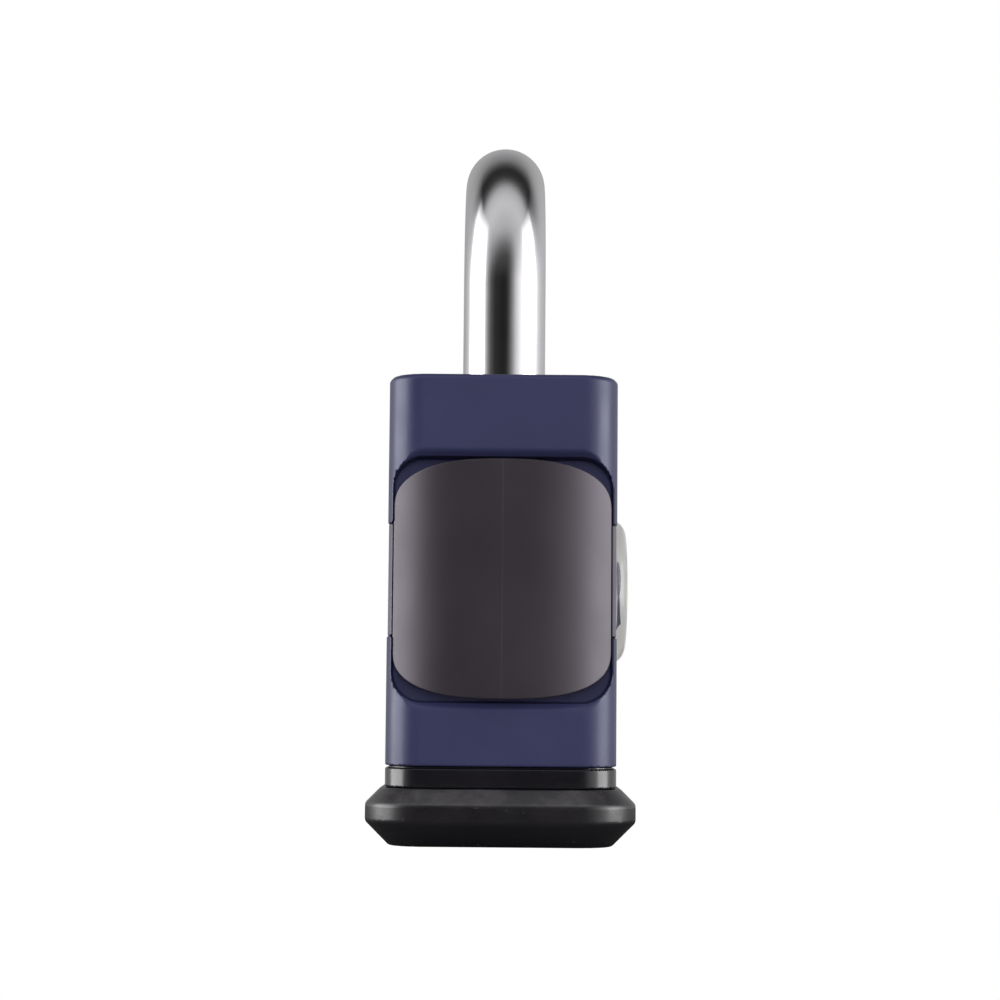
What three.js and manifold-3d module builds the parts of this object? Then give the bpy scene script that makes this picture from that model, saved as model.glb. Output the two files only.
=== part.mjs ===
// Keyless padlock: a steel body with plastic fascias and side covers, a 10 mm shackle held by two
// balls, a motor that turns the cam between them, a domed wake button and a rubber-shod base.
// Millimetres, +Z up, front towards -Y. The origin is on the standing surface, under the middle.
import * as THREE from "three";
import { mergeVertices } from "three/addons/utils/BufferGeometryUtils.js";
import Module from "manifold-3d";

// ---- Driving dimensions ----------------------------------------------------------------------
const GAP = 0.3; // between faces that meet
const BOND = 0.1; // between layers that are glued together

// Body
const WIDTH = 53; // along X
const DEPTH = 27.2; // along Y
const HEIGHT = 45.9; // along Z
const CORNER = 4.4; // radius of the upright edges
const TOP_CHAMFER = 0.5;
const BODY_BOTTOM = 9.3;
const BODY_TOP = BODY_BOTTOM + HEIGHT;
const HALL = { halfX: 9.3, frontY: -9.2, backY: 6.5, top: 41.5 }; // room for the works

// Shackle
const BAR_R = 5;
const LEG_X = 16.5; // from the middle to each leg's axis
const BORE_R = BAR_R + GAP;
const CROWN_Z = 66.8; // centre of the crown's arc
const TOE_END = 41;
const HEEL_END = 25;
const TIP_CHAMFER = 0.9;
const LIFT = 15; // the shackle's travel
const TOE_FLOOR = 12;
const HEEL_FLOOR = 13;
const SEAL = { inner: 5.3, outer: 6.4, z0: 53.5, z1: 54.9, seat: 6.7 };

// Locking balls and the cam between them
const BALL_R = 4;
const BALL_Z = 47;
const BALL_OPEN_X = 7.1; // centre, clear of the leg
const BALL_LOCKED_X = 9.5; // centre, in the leg's notch
const CHANNEL_R = BALL_R + 0.2;
const CAM = { z0: 43.3, z1: 51, clearance: 0.2, bore: 5.7, turn: Math.PI / 2 };
const SHAFT = { r: 1.5, z0: 41.1, z1: 46 };
const WASHER = { inner: 1.9, outer: 5.3, z0: 41.9, z1: 42.9 };

// Motor, its frame and the electronics
const MOTOR = { halfX: 6, halfY: 5, z0: 17, z1: 31.7 };
const GEARBOX = { halfX: 6, halfY: 5, z0: 32, z1: 40.8 };
const FRAME = { inner: 6.4, wall: 0.9, halfY: 4, z0: 12.3, z1: 40.6 };
const ARMOUR = { z0: 9.3, z1: 12 }; // plate that guards the works against a drill
const BOARD = { halfX: 8.8, y0: -6.4, y1: -5.6, z0: 14, z1: 40.4 };
const LEAD_R = 0.35;
const LEAD_PORT = { y: -1, z: 13 };

// Battery, below the toe of the shackle
const CELL = { r: 5, z0: 13.6, z1: 38.7 };
const CELL_CAP = { r: 4.95, z0: 39, z1: 40.4, slotWidth: 1.6, slotDepth: 0.7 };
const CELL_CONTACT = { r: 4.2, z0: 12.3, z1: 13.3 };

// Fascias, side covers and button, all level with one another
const BAND_Z = 31.05; // their middle
const BAND_HEIGHT = 13;
const CHANNEL_Y = 11.7; // floor of the channel that a fascia lies in
const FASCIA = { inner: 12, inset: 0.1, coverGap: BOND, peg: { x: 15.5, r: 1.3, reach: 10 } };
const HUB_R = 12.2; // round middle of the front fascia
const POCKET = { width: 25.8, height: 28.8, corner: 3.6, floor: 23, lip: 0.6 };
const COVER = {
  width: 25.6, height: 27.9, straight: 16.3, power: 2.6, // outline
  middle: 28, edge: 24.2, inner: 23.3, bulge: 2.6, // cross-section
  peg: 9.5,
};
const PEG_R = 1.3;
const PEG_DEPTH = 1.8;

const BEZEL = { inner: 9.7, outer: 10.6, back: 12, front: 14.2 };
const DOME = { back: 13.6, front: 15.9, r: 9.3 };
const BADGE = { back: 13.2, front: 13.5, r: 8.8 };
const CARRIER = { r: 9.2, back: 12.5, front: 13.1, stemR: 5.7, stemEnd: 7.8, grooveR: 4.9 };
const CLIP = { inner: 5.2, outer: 7, back: 8.5, front: 8.9 };
const BUTTON_SEAL = { inner: 8.5, outer: 9.6, back: 11.3, front: 11.8 };
const BUTTON_SPRING = { mean: 7, wire: 0.25, back: 10.45, front: 12.2, turns: 2 };
const BUTTON_WELL = { sealR: 9.9, sealY: 11, springR: 8.2, springY: 10.2, stemR: 6 };
const SWITCH = { halfX: 1.6, halfZ: 1.6, back: 6.7, front: 7.2 };

// Base
const COLLAR = { z0: 6.8, z1: 9 };
const BOSS = { width: 46, depth: 22, corner: 3, z0: 2.8 };
const BUMPER = { halfX: 28.9, halfY: 15.9, corner: 6.8, floor: 2.5, low: 2.8, high: 4.9, top: 6.7 };
const GASKET = { halfX: 24.9, halfY: 11.9, width: 1.2, z0: 8.3, z1: 9.2 };
const SCREW = { x: 18.5, y: 7.6, r: 1.25, headR: 2.35, headHeight: 1.1, z0: 3.2, z1: 14, socketR: 0.9 };

const ROUND = 24; // sides of a large cylinder
const SMALL_ROUND = 12; // sides of a small one
const CORNER_STEPS = 5; // per quarter turn of a rounded corner

// ---- Finishes --------------------------------------------------------------------------------
const finish = (color, roughness, metalness) => ({ color, roughness, metalness });
const BLUE_PAINT = finish(0x2b2f66, 0.45, 0.35);
const CHARCOAL_PLASTIC = finish(0x3f3b42, 0.55, 0);
const GREY_PLASTIC = finish(0x77747f, 0.5, 0);
const BLACK_PLASTIC = finish(0x17171a, 0.5, 0);
const BLACK_RUBBER = finish(0x1c1b1e, 0.75, 0);
const PLATED_STEEL = finish(0xd8d8dc, 0.15, 1);
const TOOL_STEEL = finish(0x8d8f94, 0.35, 1);
const CLEAR_RESIN = finish(0xf1f3f5, 0.05, 0);
const BADGE_INK = finish(0xf0f2ea, 0.4, 0);
const BOARD_GREEN = finish(0x1d5a37, 0.5, 0);
const CELL_SLEEVE = finish(0x3b6fa8, 0.4, 0);

// ---- Solids ----------------------------------------------------------------------------------
const wasm = await Module();
wasm.setup();

// A closed geometry as a solid that can be joined and cut.
function solid(geometry) {
  const bare = geometry.clone();
  bare.deleteAttribute("normal");
  bare.deleteAttribute("uv");
  const merged = mergeVertices(bare, 1e-4);
  const mesh = new wasm.Mesh({
    numProp: 3,
    vertProperties: merged.attributes.position.array,
    triVerts: new Uint32Array(merged.index.array),
  });
  return new wasm.Manifold(mesh);
}

function geometryOf(made) {
  const mesh = made.getMesh();
  const geometry = new THREE.BufferGeometry();
  geometry.setAttribute("position", new THREE.BufferAttribute(Float32Array.from(mesh.vertProperties), 3));
  geometry.setIndex(new THREE.BufferAttribute(Uint32Array.from(mesh.triVerts), 1));
  geometry.computeVertexNormals();
  return geometry;
}

const cut = (base, ...tools) => geometryOf(tools.reduce((left, tool) => left.subtract(solid(tool)), solid(base)));
const join = (base, ...more) => geometryOf(more.reduce((left, other) => left.add(solid(other)), solid(base)));
const overlap = (a, b) => geometryOf(solid(a).intersect(solid(b)));

// ---- Shapes ----------------------------------------------------------------------------------
// A closed skin through rings of equally many points, each end capped by a fan from its middle.
function loft(rings) {
  const count = rings[0].length;
  const middle = (ring) => [0, 1, 2].map((axis) => ring.reduce((sum, point) => sum + point[axis], 0) / count);
  const last = rings.length - 1;
  const points = [...rings.flat(), middle(rings[0]), middle(rings[last])];
  const index = [];
  for (let i = 0; i < count; i++) {
    const next = (i + 1) % count;
    for (let level = 0; level < last; level++) {
      const low = level * count;
      const high = low + count;
      index.push(low + i, low + next, high + next, low + i, high + next, high + i);
    }
    index.push(points.length - 2, next, i);
    index.push(points.length - 1, last * count + i, last * count + next);
  }
  const geometry = new THREE.BufferGeometry();
  geometry.setAttribute("position", new THREE.Float32BufferAttribute(points.flat(), 3));
  geometry.setIndex(index);
  return geometry;
}

// Outlines are lists of [u, v], anticlockwise.
function roundedRect(width, height, corner) {
  const points = [];
  for (let quarter = 0; quarter < 4; quarter++) {
    const sideU = quarter === 0 || quarter === 3 ? 1 : -1;
    const sideV = quarter < 2 ? 1 : -1;
    for (let step = 0; step <= CORNER_STEPS; step++) {
      const angle = ((quarter + step / CORNER_STEPS) * Math.PI) / 2;
      points.push([
        sideU * (width / 2 - corner) + corner * Math.cos(angle),
        sideV * (height / 2 - corner) + corner * Math.sin(angle),
      ]);
    }
  }
  return points;
}

function circle(radius, sides = ROUND) {
  return Array.from({ length: sides }, (_, i) => {
    const angle = ((i + 0.5) / sides) * Math.PI * 2;
    return [radius * Math.cos(angle), radius * Math.sin(angle)];
  });
}

const rect = (u0, u1, v0, v1) => [[u0, v0], [u1, v0], [u1, v1], [u0, v1]];
const shift = (outline, du, dv) => outline.map(([u, v]) => [u + du, v + dv]);

// Prisms along each axis. An outline's two numbers are X and Y, Y and Z, or X and Z.
const prismZ = (outline, z0, z1) => loft([z0, z1].map((z) => outline.map(([x, y]) => [x, y, z])));
const prismX = (outline, x0, x1) => loft([x0, x1].map((x) => outline.map(([y, z]) => [x, y, z])));
const prismY = (outline, y0, y1) => loft([y1, y0].map((y) => outline.map(([x, z]) => [x, y, z])));
const box = (x0, x1, y0, y1, z0, z1) => prismZ(rect(x0, x1, y0, y1), z0, z1);
const rodZ = (radius, z0, z1, x = 0, y = 0, sides = ROUND) => prismZ(shift(circle(radius, sides), x, y), z0, z1);
const rodX = (radius, x0, x1, y = 0, z = 0, sides = ROUND) => prismX(shift(circle(radius, sides), y, z), x0, x1);
const rodY = (radius, y0, y1, x = 0, z = 0, sides = ROUND) => prismY(shift(circle(radius, sides), x, z), y0, y1);
const tubeZ = (inner, outer, z0, z1, x = 0) => cut(rodZ(outer, z0, z1, x), rodZ(inner, z0 - 1, z1 + 1, x));

// A piece turned about Z, from [radius, z] pairs that start and end on the axis, lowest first.
function turned(profile, sides = ROUND) {
  const points = profile.map(([r, z]) => new THREE.Vector2(r, z));
  return new THREE.LatheGeometry(points, sides).rotateX(Math.PI / 2);
}

// A piece of the button, turned about the button's axis. Heights run forward from the middle plane.
const turnedForward = (profile) => turned(profile).rotateX(Math.PI / 2).translate(0, 0, BAND_Z);

const ringForward = (part) =>
  cut(rodY(part.outer, -part.front, -part.back, 0, BAND_Z), rodY(part.inner, -part.front - 1, -part.back + 1, 0, BAND_Z));

// A coil of round wire about Z.
function coil(mean, wire, z0, z1, turns, stepsPerTurn = 14, sides = 6) {
  const steps = Math.round(turns * stepsPerTurn);
  const rings = Array.from({ length: steps + 1 }, (_, i) => {
    const angle = (i / stepsPerTurn) * Math.PI * 2;
    const z = z0 + wire + ((z1 - z0 - 2 * wire) * i) / steps;
    return circle(wire, sides).map(([rise, out]) => [
      (mean + out) * Math.cos(angle),
      (mean + out) * Math.sin(angle),
      z + rise,
    ]);
  });
  return loft(rings);
}

// A round wire through the given points.
function lead(points) {
  const section = new THREE.Shape(circle(LEAD_R, 6).map(([u, v]) => new THREE.Vector2(u, v)));
  const path = new THREE.CatmullRomCurve3(points.map((point) => new THREE.Vector3(...point)));
  return new THREE.ExtrudeGeometry(section, { steps: 10, extrudePath: path });
}

// ---- Assembly helpers ------------------------------------------------------------------------
const padlock = new THREE.Group();

function add(name, geometry, look, x = 0, y = 0, z = 0) {
  const mesh = new THREE.Mesh(geometry, new THREE.MeshStandardMaterial(look));
  mesh.name = name;
  mesh.position.set(x, y, z);
  padlock.add(mesh);
}

const ENDS = [-1, 1];
const QUARTERS = ENDS.flatMap((sideX) => ENDS.map((sideY) => [sideX, sideY]));

// ---- Body ------------------------------------------------------------------------------------
function bodyBlock() {
  const level = (z, inset) =>
    roundedRect(WIDTH - 2 * inset, DEPTH - 2 * inset, CORNER - inset).map(([x, y]) => [x, y, z]);
  return loft([level(BODY_BOTTOM, 0), level(BODY_TOP - TOP_CHAMFER, 0), level(BODY_TOP, TOP_CHAMFER)]);
}

// The pocket that a side cover lies in, with its chamfered lip.
function sidePocket(side) {
  const ring = (x, grow) =>
    roundedRect(POCKET.width + 2 * grow, POCKET.height + 2 * grow, POCKET.corner + grow)
      .map(([y, z]) => [side * x, side * y, BAND_Z + z]);
  const outside = WIDTH / 2;
  return loft([ring(POCKET.floor, 0), ring(outside - POCKET.lip, 0), ring(outside + 1, POCKET.lip + 1)]);
}

function shackleHoles() {
  return [
    rodZ(BORE_R, TOE_FLOOR, BODY_TOP + 1, LEG_X),
    rodZ(BORE_R, HEEL_FLOOR, BODY_TOP + 1, -LEG_X),
    ...ENDS.map((side) => rodZ(SEAL.seat, SEAL.z0 - GAP, BODY_TOP + 1, side * LEG_X)),
  ];
}

function lockRooms() {
  return [
    box(-HALL.halfX, HALL.halfX, HALL.frontY, HALL.backY, 0, HALL.top),
    rodZ(CAM.bore, HALL.top - 1, CAM.z1 + 0.5),
    rodX(CHANNEL_R, -LEG_X, LEG_X, 0, BALL_Z),
    rodX(LEAD_R + GAP, HALL.halfX - 1, LEG_X - BORE_R + 1, LEAD_PORT.y, LEAD_PORT.z, SMALL_ROUND),
  ];
}

function bandChannels() {
  const half = BAND_HEIGHT / 2 + GAP / 2;
  const pegHole = (sideX, sideY) => {
    const ends = [CHANNEL_Y + 1, FASCIA.peg.reach - GAP].map((y) => sideY * y);
    return rodY(FASCIA.peg.r + GAP, Math.min(...ends), Math.max(...ends), sideX * FASCIA.peg.x, BAND_Z, SMALL_ROUND);
  };
  return [
    box(-WIDTH, WIDTH, -DEPTH, -CHANNEL_Y, BAND_Z - half, BAND_Z + half),
    box(-WIDTH, WIDTH, CHANNEL_Y, DEPTH, BAND_Z - half, BAND_Z + half),
    rodY(HUB_R + GAP / 2, -DEPTH, -CHANNEL_Y, 0, BAND_Z, 2 * ROUND),
    ...QUARTERS.map(([sideX, sideY]) => pegHole(sideX, sideY)),
  ];
}

function buttonWell() {
  return [
    rodY(BUTTON_WELL.sealR, -DEPTH, -BUTTON_WELL.sealY, 0, BAND_Z),
    rodY(BUTTON_WELL.springR, -DEPTH, -BUTTON_WELL.springY, 0, BAND_Z),
    rodY(BUTTON_WELL.stemR, -DEPTH, HALL.frontY + 1, 0, BAND_Z),
  ];
}

function coverPegHoles() {
  return QUARTERS.map(([sideX, sideY]) => {
    const ends = [POCKET.floor + 1, POCKET.floor - PEG_DEPTH - GAP].map((x) => sideX * x);
    return rodX(PEG_R + GAP, Math.min(...ends), Math.max(...ends), sideY * COVER.peg, BAND_Z, SMALL_ROUND);
  });
}

const screwHoles = () =>
  QUARTERS.map(([sideX, sideY]) =>
    rodZ(SCREW.r + GAP, BODY_BOTTOM - 1, SCREW.z1 + GAP, sideX * SCREW.x, sideY * SCREW.y, SMALL_ROUND));

add("lock_body", cut(
  bodyBlock(),
  ...ENDS.map(sidePocket),
  ...shackleHoles(),
  ...lockRooms(),
  ...bandChannels(),
  ...buttonWell(),
  ...coverPegHoles(),
  ...screwHoles(),
), BLUE_PAINT);

// ---- Side covers -----------------------------------------------------------------------------
// Cushion outline: upright sides and ends that fall away towards the corners.
function coverOutline() {
  const a = COVER.width / 2;
  const rise = (COVER.height - COVER.straight) / 2;
  const quarter = Array.from({ length: 9 }, (_, i) => {
    const angle = (i / 8) * (Math.PI / 2);
    const reach = (Math.cos(angle) ** COVER.power + Math.sin(angle) ** COVER.power) ** (-1 / COVER.power);
    return [a * reach * Math.cos(angle), COVER.straight / 2 + rise * reach * Math.sin(angle)];
  });
  const back = quarter.slice(0, -1).map(([y, z]) => [-y, z]).reverse();
  const top = [...quarter, ...back];
  return [...top, ...top.map(([y, z]) => [-y, -z])];
}

// The cover's cross-section, [x, y]: flat behind, and curving back towards its upright edges.
function coverSection() {
  const steps = 14;
  const front = Array.from({ length: steps + 1 }, (_, i) => {
    const across = (i / steps) * 2 - 1;
    const x = COVER.middle - (COVER.middle - COVER.edge) * Math.abs(across) ** COVER.bulge;
    return [x, (across * COVER.width) / 2];
  });
  return [...front, [COVER.inner, COVER.width / 2], [COVER.inner, -COVER.width / 2]];
}

function sideCover(side) {
  const outline = shift(coverOutline(), 0, BAND_Z);
  const slab = prismZ(coverSection(), BAND_Z - COVER.height, BAND_Z + COVER.height);
  const panel = overlap(slab, prismX(outline, COVER.inner - 1, COVER.middle + 1));
  const pegs = ENDS.map((end) =>
    rodX(PEG_R, POCKET.floor - PEG_DEPTH, COVER.inner + 0.3, end * COVER.peg, BAND_Z, SMALL_ROUND));
  const cover = join(panel, ...pegs);
  return side > 0 ? cover : cover.rotateZ(Math.PI);
}

add("left_cover", sideCover(-1), CHARCOAL_PLASTIC);
add("right_cover", sideCover(1), CHARCOAL_PLASTIC);

// ---- Fascias ---------------------------------------------------------------------------------
// side is -1 in front and 1 behind. The front one has the round middle that the button sits in.
function fascia(side) {
  const skin = prismZ(roundedRect(WIDTH - 2 * FASCIA.inset, DEPTH - 2 * FASCIA.inset, CORNER - FASCIA.inset), 0, BODY_TOP);
  const low = BAND_Z - BAND_HEIGHT / 2;
  const high = BAND_Z + BAND_HEIGHT / 2;
  const ySpan = side < 0 ? [-DEPTH, -FASCIA.inner] : [FASCIA.inner, DEPTH];
  const band = box(-WIDTH, WIDTH, ...ySpan, low, high);
  const slab = side < 0 ? join(band, rodY(HUB_R, ...ySpan, 0, BAND_Z, 2 * ROUND)) : band;
  const coverRooms = ENDS.map((end) => {
    const xs = [COVER.inner - 2 * GAP, WIDTH].map((x) => end * x);
    const half = COVER.width / 2 + FASCIA.coverGap;
    return box(Math.min(...xs), Math.max(...xs), -half, half, 0, BODY_TOP);
  });
  const buttonHole = side < 0 ? [rodY(BEZEL.outer + GAP, ...ySpan, 0, BAND_Z)] : [];
  const pegSpan = [side * FASCIA.peg.reach, side * (FASCIA.inner + 0.5)];
  const pegs = ENDS.map((end) =>
    rodY(FASCIA.peg.r, Math.min(...pegSpan), Math.max(...pegSpan), end * FASCIA.peg.x, BAND_Z, SMALL_ROUND));
  return join(cut(overlap(skin, slab), ...coverRooms, ...buttonHole), ...pegs);
}

add("front_fascia", fascia(-1), GREY_PLASTIC);
add("rear_fascia", fascia(1), GREY_PLASTIC);

// ---- Base ------------------------------------------------------------------------------------
function basePlate() {
  const collar = prismZ(roundedRect(WIDTH, DEPTH, CORNER), COLLAR.z0, COLLAR.z1);
  const boss = prismZ(roundedRect(BOSS.width, BOSS.depth, BOSS.corner), BOSS.z0, COLLAR.z0 + 0.5);
  const holes = QUARTERS.map(([sideX, sideY]) => {
    const head = SCREW.headR + GAP;
    const shank = SCREW.r + GAP;
    const profile = [
      [0, BOSS.z0 - 1], [head, BOSS.z0 - 1], [head, SCREW.z0], [shank, SCREW.z0 + SCREW.headHeight],
      [shank, COLLAR.z1 + 1], [0, COLLAR.z1 + 1],
    ];
    return turned(profile, SMALL_ROUND).translate(sideX * SCREW.x, sideY * SCREW.y, 0);
  });
  const grow = 2 * GAP;
  const outer = roundedRect(2 * GASKET.halfX + grow, 2 * GASKET.halfY + grow, 2.4 + GAP);
  const inner = roundedRect(2 * (GASKET.halfX - GASKET.width) - grow, 2 * (GASKET.halfY - GASKET.width) - grow, 0.9);
  const groove = cut(prismZ(outer, GASKET.z0 - GAP, COLLAR.z1 + 1), prismZ(inner, GASKET.z0 - 1, COLLAR.z1 + 2));
  return cut(join(collar, boss), ...holes, groove);
}

function baseGasket() {
  const outer = roundedRect(2 * GASKET.halfX, 2 * GASKET.halfY, 2.4);
  const inner = roundedRect(2 * (GASKET.halfX - GASKET.width), 2 * (GASKET.halfY - GASKET.width), 1.2);
  return cut(prismZ(outer, GASKET.z0, GASKET.z1), prismZ(inner, GASKET.z0 - 1, GASKET.z1 + 1));
}

// A rubber cup that is pushed over the plate's boss and hides its screws.
function baseBumper() {
  const level = (z, inset) =>
    roundedRect(2 * (BUMPER.halfX - inset), 2 * (BUMPER.halfY - inset), BUMPER.corner - inset)
      .map(([x, y]) => [x, y, z]);
  const rise = BUMPER.top - BUMPER.high;
  const shoe = loft([level(0, BUMPER.low), level(BUMPER.low, 0), level(BUMPER.high, 0), level(BUMPER.top, rise)]);
  const room = roundedRect(BOSS.width + 2 * GAP, BOSS.depth + 2 * GAP, BOSS.corner + GAP);
  return cut(shoe, prismZ(room, BUMPER.floor, BUMPER.top + 1));
}

function baseScrew() {
  const { r, headR, headHeight, z0, z1, socketR } = SCREW;
  const shape = turned([[0, z0], [headR, z0], [r, z0 + headHeight], [r, z1 - 0.5], [r - 0.4, z1], [0, z1]], SMALL_ROUND);
  return cut(shape, rodZ(socketR, z0 - 1, z0 + 1, 0, 0, 6));
}

add("base_plate", basePlate(), BLACK_PLASTIC);
add("base_bumper", baseBumper(), BLACK_RUBBER);
add("base_gasket", baseGasket(), BLACK_RUBBER);
QUARTERS.forEach(([sideX, sideY], i) => {
  add(`base_screw_${i + 1}`, baseScrew(), TOOL_STEEL, sideX * SCREW.x, sideY * SCREW.y);
});
add("anti_drill_plate", box(
  -HALL.halfX + GAP, HALL.halfX - GAP, HALL.frontY + GAP, HALL.backY - GAP, ARMOUR.z0, ARMOUR.z1,
), TOOL_STEEL);

// ---- Shackle ---------------------------------------------------------------------------------
// One station of the bar: a ring of the given radius at an angle round the crown. Below the
// crown's centre the legs run straight down by `drop`.
function barRing(angle, drop, radius) {
  const out = [Math.cos(angle), Math.sin(angle)];
  return circle(radius).map(([u, v]) => [
    (LEG_X + u) * out[0],
    v,
    CROWN_Z + (LEG_X + u) * out[1] - drop,
  ]);
}

function shackleBar() {
  const toe = [
    barRing(0, CROWN_Z - TOE_END, BAR_R - TIP_CHAMFER),
    barRing(0, CROWN_Z - TOE_END - TIP_CHAMFER, BAR_R),
  ];
  const crownSteps = 18;
  const crown = Array.from({ length: crownSteps + 1 }, (_, i) => barRing((i / crownSteps) * Math.PI, 0, BAR_R));
  // The groove that catches the heel's ball when the shackle is up.
  const grooveZ = BALL_Z - LIFT;
  const reach = Math.sqrt(CHANNEL_R ** 2 - (LEG_X - BALL_LOCKED_X - BAR_R) ** 2);
  const grooveSteps = 8;
  const groove = Array.from({ length: grooveSteps + 1 }, (_, i) => {
    const dz = reach * (1 - (2 * i) / grooveSteps);
    const radius = LEG_X - BALL_LOCKED_X - Math.sqrt(CHANNEL_R ** 2 - dz ** 2);
    return barRing(Math.PI, CROWN_Z - grooveZ - dz, radius);
  });
  const heel = [
    barRing(Math.PI, CROWN_Z - HEEL_END - TIP_CHAMFER, BAR_R),
    barRing(Math.PI, CROWN_Z - HEEL_END, BAR_R - TIP_CHAMFER),
  ];
  return loft([...toe, ...crown, ...groove, ...heel]);
}

const notches = ENDS.map((side) =>
  new THREE.SphereGeometry(CHANNEL_R, 20, 12).translate(side * BALL_LOCKED_X, 0, BALL_Z));
add("shackle", cut(shackleBar(), ...notches), PLATED_STEEL);

add("heel_seal", tubeZ(SEAL.inner, SEAL.outer, SEAL.z0, SEAL.z1, -LEG_X), BLACK_RUBBER);
add("toe_seal", tubeZ(SEAL.inner, SEAL.outer, SEAL.z0, SEAL.z1, LEG_X), BLACK_RUBBER);
add("shackle_spring", coil(3.9, 0.5, HEEL_FLOOR + GAP, HEEL_END - GAP, 5.5), TOOL_STEEL, -LEG_X);

// ---- Lock ------------------------------------------------------------------------------------
// How far out the cam may reach in a direction without touching a ball, whatever the turn.
function camRadius(direction) {
  let radius = CAM.bore - 0.35;
  for (let step = 0; step <= 90; step++) {
    const turn = (step / 90) * CAM.turn;
    const away = BALL_OPEN_X + (BALL_LOCKED_X - BALL_OPEN_X) * (step / 90);
    const side = away * Math.sin(direction + turn);
    const ahead = away * Math.cos(direction + turn);
    if (ahead > 0 && Math.abs(side) < BALL_R) {
      radius = Math.min(radius, ahead - Math.sqrt(BALL_R ** 2 - side ** 2) - CAM.clearance);
    }
  }
  return radius;
}

function lockRotor() {
  const sides = 48;
  const outline = Array.from({ length: sides }, (_, i) => {
    const angle = (i / sides) * Math.PI * 2;
    const radius = Math.min(camRadius(angle), camRadius(angle - Math.PI));
    return [radius * Math.cos(angle), radius * Math.sin(angle)];
  });
  return cut(prismZ(outline, CAM.z0, CAM.z1), rodZ(SHAFT.r + GAP, CAM.z0 - 1, SHAFT.z1 + GAP, 0, 0, SMALL_ROUND));
}

const ball = () => new THREE.SphereGeometry(BALL_R, 20, 12).rotateX(Math.PI / 2);
add("locking_ball_heel", ball(), TOOL_STEEL, -BALL_OPEN_X, 0, BALL_Z);
add("locking_ball_toe", ball(), TOOL_STEEL, BALL_OPEN_X, 0, BALL_Z);
add("lock_rotor", lockRotor(), TOOL_STEEL);
add("thrust_washer", tubeZ(WASHER.inner, WASHER.outer, WASHER.z0, WASHER.z1), TOOL_STEEL);

const shaftFlat = box(SHAFT.r - 0.4, SHAFT.r + 1, -SHAFT.r, SHAFT.r, SHAFT.z0 + 1.5, SHAFT.z1 + 1);
add("motor_shaft", cut(rodZ(SHAFT.r, SHAFT.z0, SHAFT.z1, 0, 0, SMALL_ROUND), shaftFlat), TOOL_STEEL);

const block = (part, corner) => prismZ(roundedRect(2 * part.halfX, 2 * part.halfY, corner), part.z0, part.z1);
add("gearbox", block(GEARBOX, 1), TOOL_STEEL);
add("motor", block(MOTOR, 4.6), TOOL_STEEL);

function mechanismFrame() {
  const { inner, wall, halfY, z0, z1 } = FRAME;
  const outside = box(-inner - wall, inner + wall, -halfY, halfY, z0, z1);
  return cut(outside, box(-inner, inner, -halfY - 1, halfY + 1, z0 + wall, z1 + 1));
}

add("mechanism_frame", mechanismFrame(), TOOL_STEEL);

// ---- Electronics -----------------------------------------------------------------------------
add("control_board", box(-BOARD.halfX, BOARD.halfX, BOARD.y0, BOARD.y1, BOARD.z0, BOARD.z1), BOARD_GREEN);
add("wake_switch", box(
  -SWITCH.halfX, SWITCH.halfX, -SWITCH.front, -SWITCH.back, BAND_Z - SWITCH.halfZ, BAND_Z + SWITCH.halfZ,
), BLACK_PLASTIC);
add("radio_module", box(-4, 4, BOARD.y0 - GAP - 0.9, BOARD.y0 - GAP, 15.4, 22.4), CELL_SLEEVE);

const atBoard = BOARD.y1 + GAP + LEAD_R;
for (const [name, side] of [["motor_lead_a", -1], ["motor_lead_b", 1]]) {
  const under = MOTOR.z0 - GAP - LEAD_R;
  const path = [[1.5, 1, under], [1.7, -1, under - 0.9], [2.6, -3.4, under - 1.1], [3, atBoard, under - 0.3]];
  add(name, lead(path.map(([x, y, z]) => [side * x, y, z])), BLACK_RUBBER);
}
const { y: portY, z: portZ } = LEAD_PORT;
add("battery_lead", lead([
  [LEG_X - BORE_R + 0.6, portY, portZ], [HALL.halfX, portY, portZ], [8.3, -2.6, 13.9], [8.2, -4.2, 15.8],
  [8.2, atBoard, 17.4],
]), BLACK_RUBBER);

// ---- Battery ---------------------------------------------------------------------------------
const { r: cellR, z0: cellLow, z1: cellHigh } = CELL;
add("battery_cell", turned([
  [0, cellLow], [cellR - 0.5, cellLow], [cellR - 0.05, cellLow + 0.5], [cellR - 0.05, cellHigh - 1.2],
  [cellR - 0.6, cellHigh - 0.8], [1.8, cellHigh - 0.8], [1.8, cellHigh], [0, cellHigh],
]), CELL_SLEEVE, LEG_X);
add("battery_contact", turned([
  [0, CELL_CONTACT.z0], [CELL_CONTACT.r, CELL_CONTACT.z0], [CELL_CONTACT.r, CELL_CONTACT.z0 + 0.4],
  [2, CELL_CONTACT.z1], [0, CELL_CONTACT.z1],
]), PLATED_STEEL, LEG_X);
const capSlot = box(-6, 6, -CELL_CAP.slotWidth / 2, CELL_CAP.slotWidth / 2, CELL_CAP.z1 - CELL_CAP.slotDepth, 50);
add("battery_cap", cut(rodZ(CELL_CAP.r, CELL_CAP.z0, CELL_CAP.z1), capSlot), BLACK_PLASTIC, LEG_X);

// ---- Wake button -----------------------------------------------------------------------------
function buttonDome() {
  const { back, front, r } = DOME;
  return turnedForward([
    [0, back], [r, back], [r, back + 0.9], [r - 0.25, back + 1.25], [r - 0.75, back + 1.6],
    [r - 1.4, back + 1.9], [r - 2.3, back + 2.15], [r - 3.6, front - 0.03], [0, front],
  ]);
}

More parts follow.
